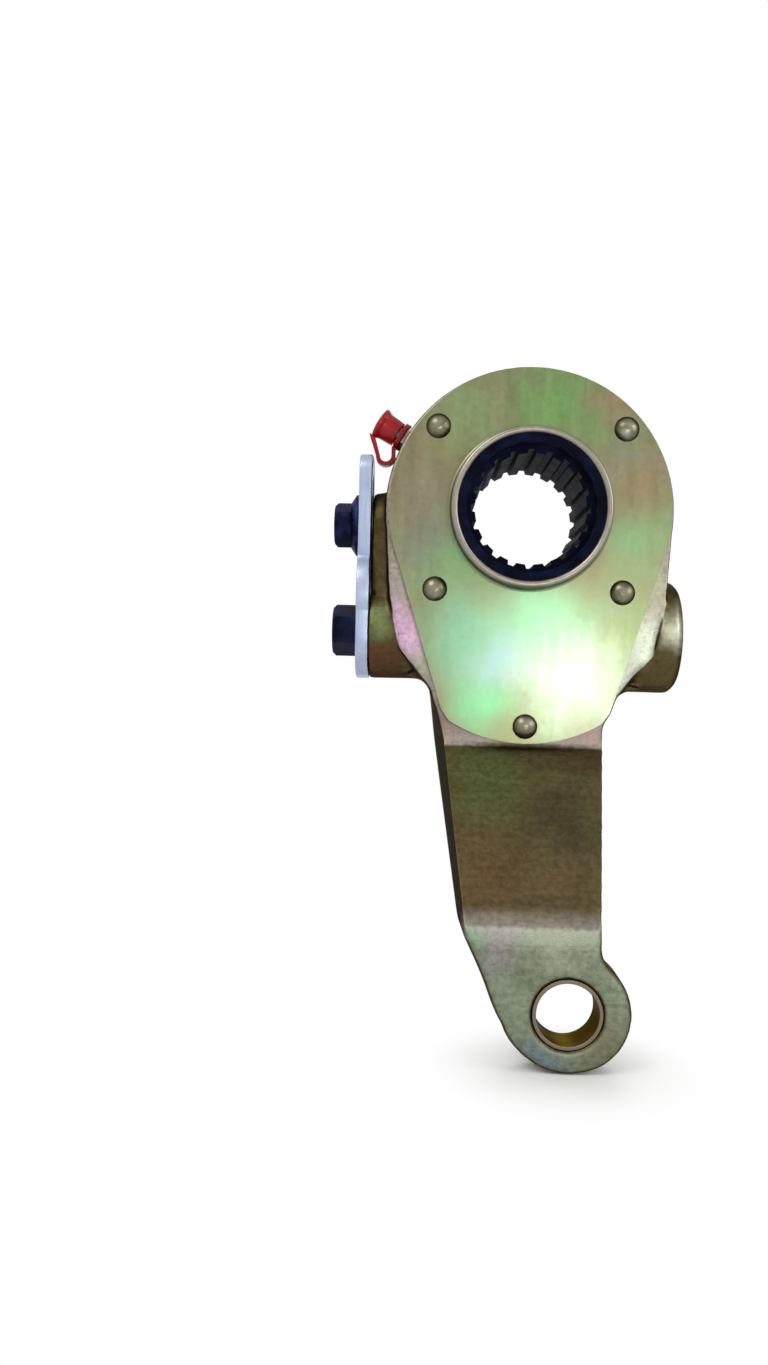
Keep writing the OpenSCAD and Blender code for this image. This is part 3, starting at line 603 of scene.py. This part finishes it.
# Adjuster shaft: the turned steel shaft that carries the worm and ends in the adjusting hexagon.
# Black oxide, oiled, gives it a blue-black sheen with soft clouds.
black_oxide = clouded(
    "oiled_black_oxide", OXIDE_CLOUD, 4.0,
    [(0.35, "#0C0E18"), (0.55, "#171C34"), (0.75, "#2A3566")],
    {"Metallic": 0.6, "Specular IOR Level": 0.3, "Specular Tint": linear("#7A84B0")}, dull=(0.26, 0.42))
dress_up("adjuster_shaft", "adjuster_shaft_blackened", 0.2 * MM, black_oxide)


# Thrust washers: two plain bronze rings that take the worm's end load, warm brown and half bright.
# Seals: nitrile rubber rings, matt black, on the shaft's journal and between the gear's hub and the covers.
bronze = clouded(
    "thrust_washer_bronze", OXIDE_CLOUD, 3.0, [(0.3, "#8A6236"), (0.7, "#B98A52")],
    {"Metallic": 1.0, "Roughness": 0.38})
colour_node(bronze, "thrust_washers")
rubber = clouded(
    "nitrile_rubber", OXIDE_CLOUD, 2.0, [(0.3, "#121212"), (0.7, "#232323")], {"Roughness": 0.65})
colour_node(rubber, "shaft_seal", "front_hub_seal", "rear_hub_seal")


# End plug: a steel plug pressed into the right boss, which shuts the worm's bore.
# Bright zinc plate gives it a pale blue-grey shine, with upright streaks left by the rolled strip.
# The streaks are drawn coarser than real roll marks, so that they show.
ROLL_MARK = 0.9 * MM
ROLL_LONG = 0.08
ZINC_BLUSH = 18 * MM
bright_zinc, tree = new_finish("bright_zinc_plate")
place = add(tree, "ShaderNodeTexCoord")
stretch = add(tree, "ShaderNodeMapping", {
    "Vector": place.outputs["Object"], "Scale": (1.0, 1.0, ROLL_LONG)})
streaks = add(tree, "ShaderNodeTexNoise", {
    "Vector": stretch.outputs[0], "Scale": 1 / ROLL_MARK, "Detail": 3.0})
blush = add(tree, "ShaderNodeTexNoise", {
    "Vector": place.outputs["Object"], "Scale": 1 / ZINC_BLUSH, "Detail": 2.0})
zinc = add(tree, "ShaderNodeValToRGB", {0: blush.outputs["Fac"]}, stops=[
    (0.30, "#838DA5"), (0.45, "#A0ABC6"), (0.55, "#ABB5CA"), (0.70, "#969DB6")])
dull = add(tree, "ShaderNodeMapRange", {
    "Value": streaks.outputs["Fac"], "From Min": 0.3, "From Max": 0.7, "To Min": 0.24, "To Max": 0.42})
scuff = add(tree, "ShaderNodeBump", {
    "Height": streaks.outputs["Fac"], "Strength": 0.15, "Distance": 0.1 * MM})
show(tree, add(tree, "ShaderNodeBsdfPrincipled", {
    "Base Color": zinc.outputs[0], "Metallic": 1.0, "Roughness": dull.outputs[0],
    "Normal": scuff.outputs[0]}))
dress_up("end_plug", "end_plug_pressed", 0.3 * MM, bright_zinc)


# Gaskets: pressed paper cut to the covers' outline, one under each cover.
# Only their thin tan edge shows between the cover and the forging, matt and slightly fibrous.
# The fibres are drawn coarser than real ones, so that they show.
FIBRE = 1.2 * MM
gasket_paper = clouded(
    "pressed_gasket_paper", FIBRE, 4.0, [(0.3, "#5E4C32"), (0.7, "#86724F")], {"Roughness": 0.85})
colour_node(gasket_paper, "front_gasket", "rear_gasket")


# Covers: two stamped steel plates with eased edges, zinc plated and riveted through the forging.
# The front one has a drawn collar round the hub, whose rim is cut bright and whose side is painted dark
# brown, as painted shade.
# On smooth sheet the yellow chromate shows its colours: olive and green, with tan, teal and grey clouds,
# and a pale spot low on the right that is a painted highlight.
SHEET_PATCH = 30 * MM
# The pale grey-green spot low on the right is a painted highlight; the other spots are the film's own
# colour.
SHEET_SPOTS_AND_HIGHLIGHT = [
    (0.010, 0.035, 0.017, "#6C9455"), (-0.020, 0.030, 0.014, "#7E9064"),
    (0.024, 0.034, 0.009, "#8B7A60"), (0.036, 0.010, 0.015, "#85745A"),
    (0.034, -0.008, 0.012, "#76946A"), (-0.036, 0.004, 0.014, "#807C66"),
    (-0.034, -0.012, 0.010, "#76766A"), (-0.024, -0.016, 0.012, "#6F9063"),
    (-0.020, -0.042, 0.018, "#72A080"), (0.004, -0.036, 0.018, "#84B48C"),
    (-0.008, -0.049, 0.011, "#8AA3A0"), (0.014, -0.055, 0.018, "#A9B8A2"),
    (-0.015, -0.062, 0.011, "#6FAC7E")]
COLLAR_R = (0.0262, 0.0258)
COLLAR_RIM_Y = (-0.0252, -0.0258)
COLLAR_SIDE_Y = (-0.0206, -0.0216)
chromate_on_sheet, tree = new_finish("yellow_chromate_on_sheet")
place = add(tree, "ShaderNodeTexCoord")
where = add(tree, "ShaderNodeSeparateXYZ", {0: place.outputs["Object"]})
patches = add(tree, "ShaderNodeTexNoise", {
    "Vector": place.outputs["Object"], "Scale": 1 / SHEET_PATCH, "Detail": 4.0, "Roughness": 0.55,
    "Distortion": 0.7})
olive = add(tree, "ShaderNodeValToRGB", {0: patches.outputs["Fac"]}, stops=[
    (0.32, "#7E7458"), (0.44, "#7B7D5C"), (0.54, "#7A8660"), (0.64, "#7C8570"), (0.76, "#857C74")])
surface_colour = soft_spots(tree, olive.outputs[0], place.outputs["Object"], SHEET_SPOTS_AND_HIGHLIGHT)
flat = add(tree, "ShaderNodeCombineXYZ", {"X": where.outputs["X"], "Y": where.outputs["Z"]})
reach = add(tree, "ShaderNodeVectorMath", {0: flat.outputs[0]}, operation="LENGTH")
inner = add(tree, "ShaderNodeMapRange", {
    "Value": reach.outputs["Value"], "From Min": COLLAR_R[0], "From Max": COLLAR_R[1]})
rim = add(tree, "ShaderNodeMapRange", {
    "Value": where.outputs["Y"], "From Min": COLLAR_RIM_Y[0], "From Max": COLLAR_RIM_Y[1]})
rim = add(tree, "ShaderNodeMath", {0: rim.outputs[0], 1: inner.outputs[0]}, operation="MULTIPLY")
# Painted shade: the collar's side wall is mixed towards dark brown.
collar_side_shade = add(tree, "ShaderNodeMapRange", {
    "Value": where.outputs["Y"], "From Min": COLLAR_SIDE_Y[0], "From Max": COLLAR_SIDE_Y[1]})
surface_colour = add(tree, "ShaderNodeMix", {
    0: collar_side_shade.outputs[0], 6: surface_colour, 7: linear("#5A4C34")}, data_type="RGBA").outputs[2]
surface_colour = add(tree, "ShaderNodeMix", {
    0: rim.outputs[0], 6: surface_colour, 7: linear("#8C867B")}, data_type="RGBA").outputs[2]

# The bath drains off slantwise, which leaves faint streaks in shade and shine over the sheet's fine grain.
# The grain is drawn coarser than a real one, so that it shows.
SHEET_GRAIN = 1.6 * MM
DRAIN_MARK = 4 * MM
DRAIN_LONG = 0.16
DRAIN_SLANT = math.radians(35)
DRAIN_SHARE = 0.65
grain = add(tree, "ShaderNodeTexNoise", {
    "Vector": place.outputs["Object"], "Scale": 1 / SHEET_GRAIN, "Detail": 1.0})
slanted = add(tree, "ShaderNodeMapping", {
    "Vector": place.outputs["Object"], "Rotation": (0.0, DRAIN_SLANT, 0.0),
    "Scale": (1.0, 1.0, DRAIN_LONG)})
drains = add(tree, "ShaderNodeTexNoise", {
    "Vector": slanted.outputs[0], "Scale": 1 / DRAIN_MARK, "Detail": 3.0, "Roughness": 0.55})
mottle = add(tree, "ShaderNodeMix", {
    0: DRAIN_SHARE, 2: grain.outputs["Fac"], 3: drains.outputs["Fac"]}, data_type="FLOAT")
shade = add(tree, "ShaderNodeMapRange", {
    "Value": mottle.outputs[0], "From Min": 0.3, "From Max": 0.7, "To Min": 0.88, "To Max": 1.12})
surface_colour = add(tree, "ShaderNodeVectorMath", {0: surface_colour, "Scale": shade.outputs[0]}, operation="SCALE")
dull = add(tree, "ShaderNodeMapRange", {
    "Value": mottle.outputs[0], "From Min": 0.3, "From Max": 0.7, "To Min": 0.28, "To Max": 0.38})
peel = add(tree, "ShaderNodeBump", {
    "Height": grain.outputs["Fac"], "Strength": 0.06, "Distance": 0.2 * MM})
show(tree, add(tree, "ShaderNodeBsdfPrincipled", {
    "Base Color": surface_colour.outputs[0], "Metallic": 0.95, "Roughness": dull.outputs[0],
    "Normal": peel.outputs[0]}))
dress_up("front_cover", "front_cover_stamped", 0.5 * MM, chromate_on_sheet)
dress_up("rear_cover", "rear_cover_stamped", 0.5 * MM, chromate_on_sheet)


# Cover rivets: five solid steel rivets through both covers and the forging, with a domed head at each end.
# Their chromate is grey-bronze, and the dome's edge is painted much darker, as painted shade.
RIVET_CLOUD = 4 * MM
DOME_TURN = (0.97, 0.66)
DOME_EDGE_PAINTED_SHADE = 0.9
rivet_chromate_with_painted_shade, tree = new_finish("rivet_chromate_and_painted_shade")
place = add(tree, "ShaderNodeTexCoord")
clouds = add(tree, "ShaderNodeTexNoise", {
    "Vector": place.outputs["Object"], "Scale": 1 / RIVET_CLOUD, "Detail": 3.0})
dome_colour = add(tree, "ShaderNodeValToRGB", {0: clouds.outputs["Fac"]}, stops=[
    (0.3, "#6B6750"), (0.55, "#8B8B74"), (0.75, "#A9AFA4")])
facing = add(tree, "ShaderNodeSeparateXYZ", {0: place.outputs["Normal"]})
slope = add(tree, "ShaderNodeMath", {0: facing.outputs["Y"]}, operation="ABSOLUTE")
# Painted shade: faces turned away from the front are mixed towards dark brown.
dome_edge_shade = add(tree, "ShaderNodeMapRange", {
    "Value": slope.outputs[0], "From Min": DOME_TURN[0], "From Max": DOME_TURN[1],
    "To Max": DOME_EDGE_PAINTED_SHADE})
dome_colour = add(tree, "ShaderNodeMix", {
    0: dome_edge_shade.outputs[0], 6: dome_colour.outputs[0], 7: linear("#3A3424")}, data_type="RGBA")
show(tree, add(tree, "ShaderNodeBsdfPrincipled", {
    "Base Color": dome_colour.outputs[2], "Metallic": 0.95, "Roughness": 0.32,
    "Specular Tint": linear("#6E6450")}))
colour_node(rivet_chromate_with_painted_shade, "cover_rivets")


# Lock plate: a stamped steel plate in bright zinc that slides over a turned spacer on its long slot.
# Its lower opening locks the adjusting hexagon. The spacer has the rivets' finish, with the same painted
# shade on its faces turned away from the front.
dress_up("plate_spacer", "plate_spacer_turned", 0.2 * MM, rivet_chromate_with_painted_shade)
dress_up("lock_plate", "lock_plate_stamped", 0.5 * MM, bright_zinc)


# Lock bolt: an M8 steel bolt that clamps the lock plate to the forging through a cone-topped washer.
# Both are blued by heat and oil, which gives a deep blue-black with a half bright shine.
blued = clouded(
    "blued_bolt_steel", OXIDE_CLOUD, 4.0,
    [(0.38, "#0B0D18"), (0.52, "#151B36"), (0.66, "#283262")],
    {"Metallic": 0.7, "Roughness": 0.32, "Specular IOR Level": 0.3, "Specular Tint": linear("#7A84B0")})
dress_up("lock_washer", "lock_washer_blued", 0.2 * MM, blued)
dress_up("lock_bolt", "lock_bolt_blued", 0.2 * MM, blued)


# Grease nipple: a turned steel nipple, screwed into the forging beside the lock plate.
# Its zinc plate is dull, a warm grey with small clouds.
ZINC_CLOUD = 3 * MM
dull_zinc = clouded(
    "dull_zinc_plate", ZINC_CLOUD, 3.0, [(0.3, "#77736A"), (0.7, "#A19C90")],
    {"Metallic": 1.0, "Roughness": 0.42})
dress_up("grease_nipple", "grease_nipple_turned", 0.2 * MM, dull_zinc)


# Dust cap: one soft moulding of red polythene, whose ring stays on the nipple's neck.
# It is glossy and evenly red, with faint flow marks, and the strap stays still.
FLOW_MARK = 5 * MM
red_polythene = clouded(
    "red_polythene", FLOW_MARK, 2.0, [(0.3, "#840810"), (0.7, "#A80C16")],
    {"Roughness": 0.3, "IOR": 1.51, "Specular IOR Level": 0.3})
dress_up("cap_ring", "cap_ring_moulded", 0.3 * MM, red_polythene)
dress_up("dust_cap", "dust_cap_moulded", 0.3 * MM, red_polythene)
strap = eased("cap_strap", "cap_strap_moulded", 0.2 * MM, red_polythene)
stand_for("cap_strap")
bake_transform(strap)


# Sizes: the box of the solids, and the box of all that the scene shows of the part.
low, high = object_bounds()
